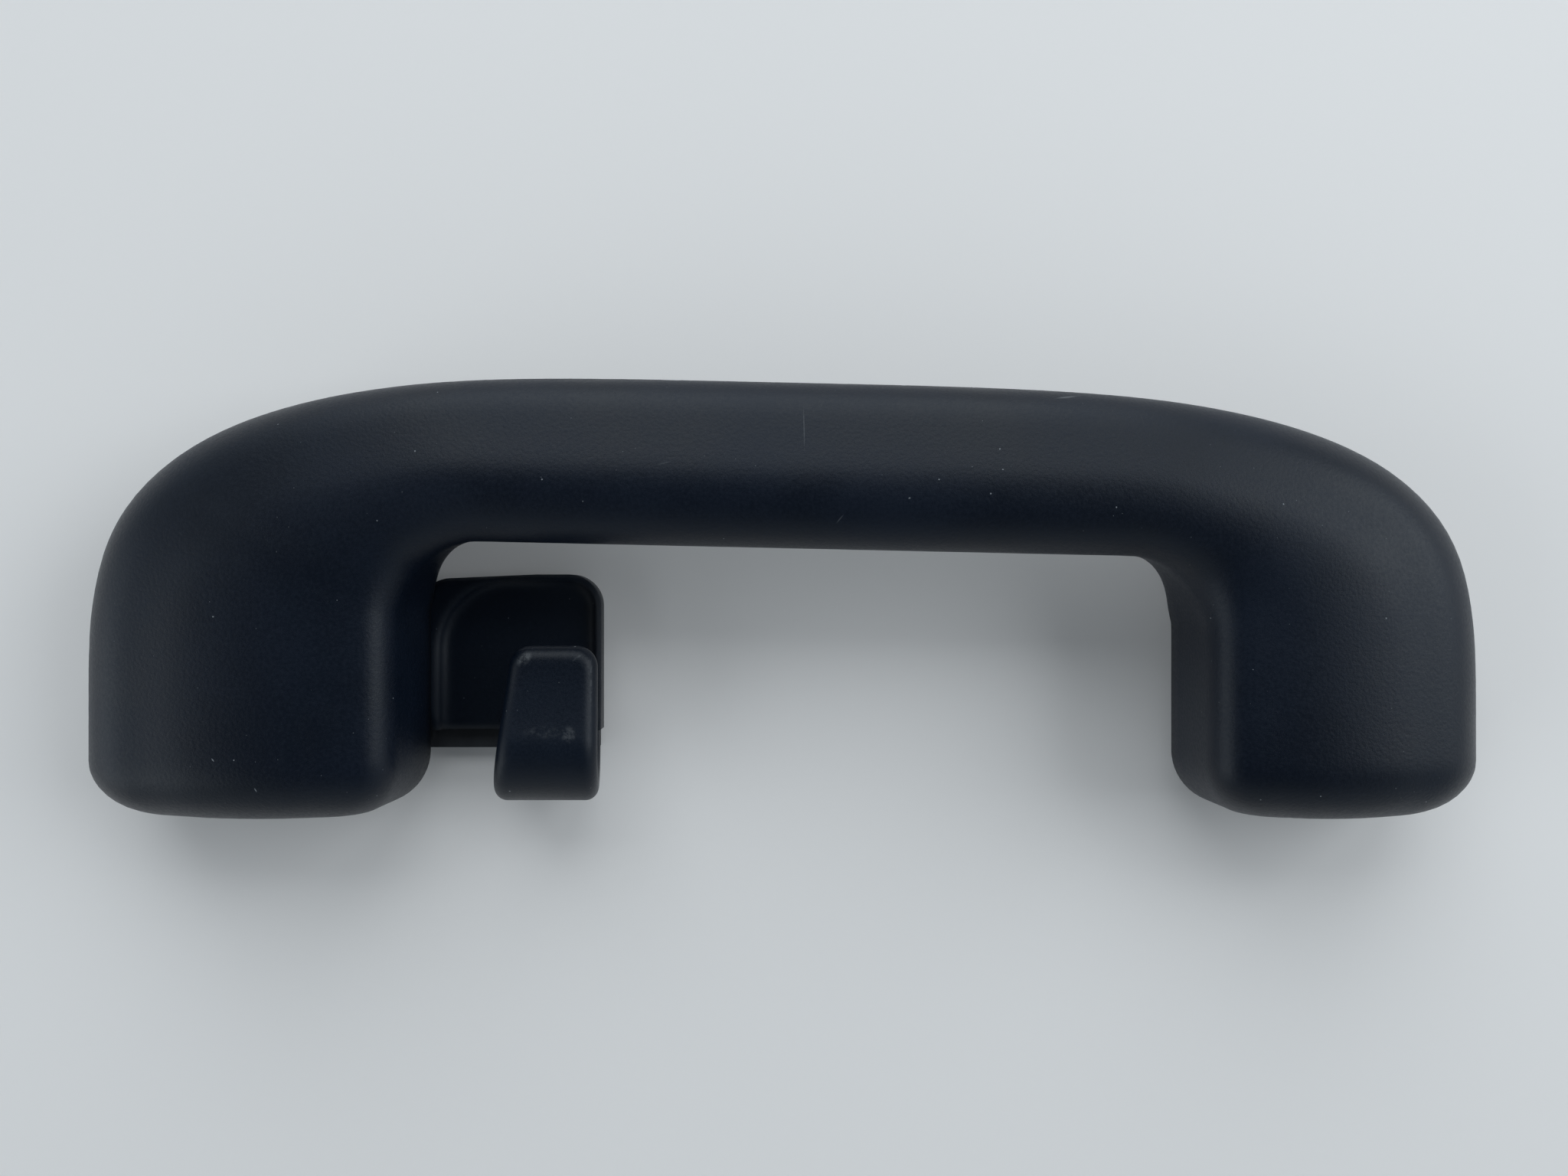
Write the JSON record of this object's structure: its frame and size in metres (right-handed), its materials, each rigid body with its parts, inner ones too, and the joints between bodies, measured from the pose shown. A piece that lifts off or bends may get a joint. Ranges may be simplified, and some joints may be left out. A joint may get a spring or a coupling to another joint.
{
  "type": "roof grab handle",
  "caption": "Folding roof grab handle: a U-shaped moulded grip hinged on screwed bases, sprung to fold flat, with a coat hook beside its left leg.",
  "frame": {"origin": "on the mounting plane, midway between the two screw holes", "axes": "+X along the handle, away from the coat hook; +Y from the hinge to the hand bar; +Z out of the mounting plane, towards the hand"},
  "size_m": [0.2325, 0.0722, 0.0321],
  "materials": {
    "grip_plastic": "fine-grained soft-touch black",
    "hook_plastic": "fine-grained black",
    "base_plastic": "smooth dark grey",
    "cap_plastic": "fine-grained black",
    "damper_plastic": "smooth grey",
    "rotor_plastic": "natural white",
    "buffer_rubber": "matte black",
    "zinc_steel": "zinc plated",
    "pin_steel": "ground steel",
    "spring_steel": "drawn wire"
  },
  "bodies": {
    "bases": {"left_base": "base_plastic", "right_base": "base_plastic", "coat_hook": "hook_plastic", "hook_screws": "zinc_steel", "left_screw_sleeve": "zinc_steel", "right_screw_sleeve": "zinc_steel", "left_screw_cap": "cap_plastic", "right_screw_cap": "cap_plastic", "left_buffer": "buffer_rubber", "right_buffer": "buffer_rubber", "left_hinge_pin": "pin_steel", "right_hinge_pin": "pin_steel", "return_spring": "spring_steel", "damper_housing": "damper_plastic", "damper_end_cap": "damper_plastic", "damper_o_ring": "buffer_rubber"},
    "grip": {"grip_body": "grip_plastic", "damper_rotor": "rotor_plastic"}
  },
  "joints": [
    {"name": "grip_fold", "type": "hinge", "parent": "bases", "child": "grip", "pos_m": [0, -0.0145, 0.015], "axis": [1, 0, 0], "range_deg": [0, 85], "stiffness_Nm_per_rad": 0.15, "springref_deg": -68.75, "deforming": ["return_spring"]}
  ]
}
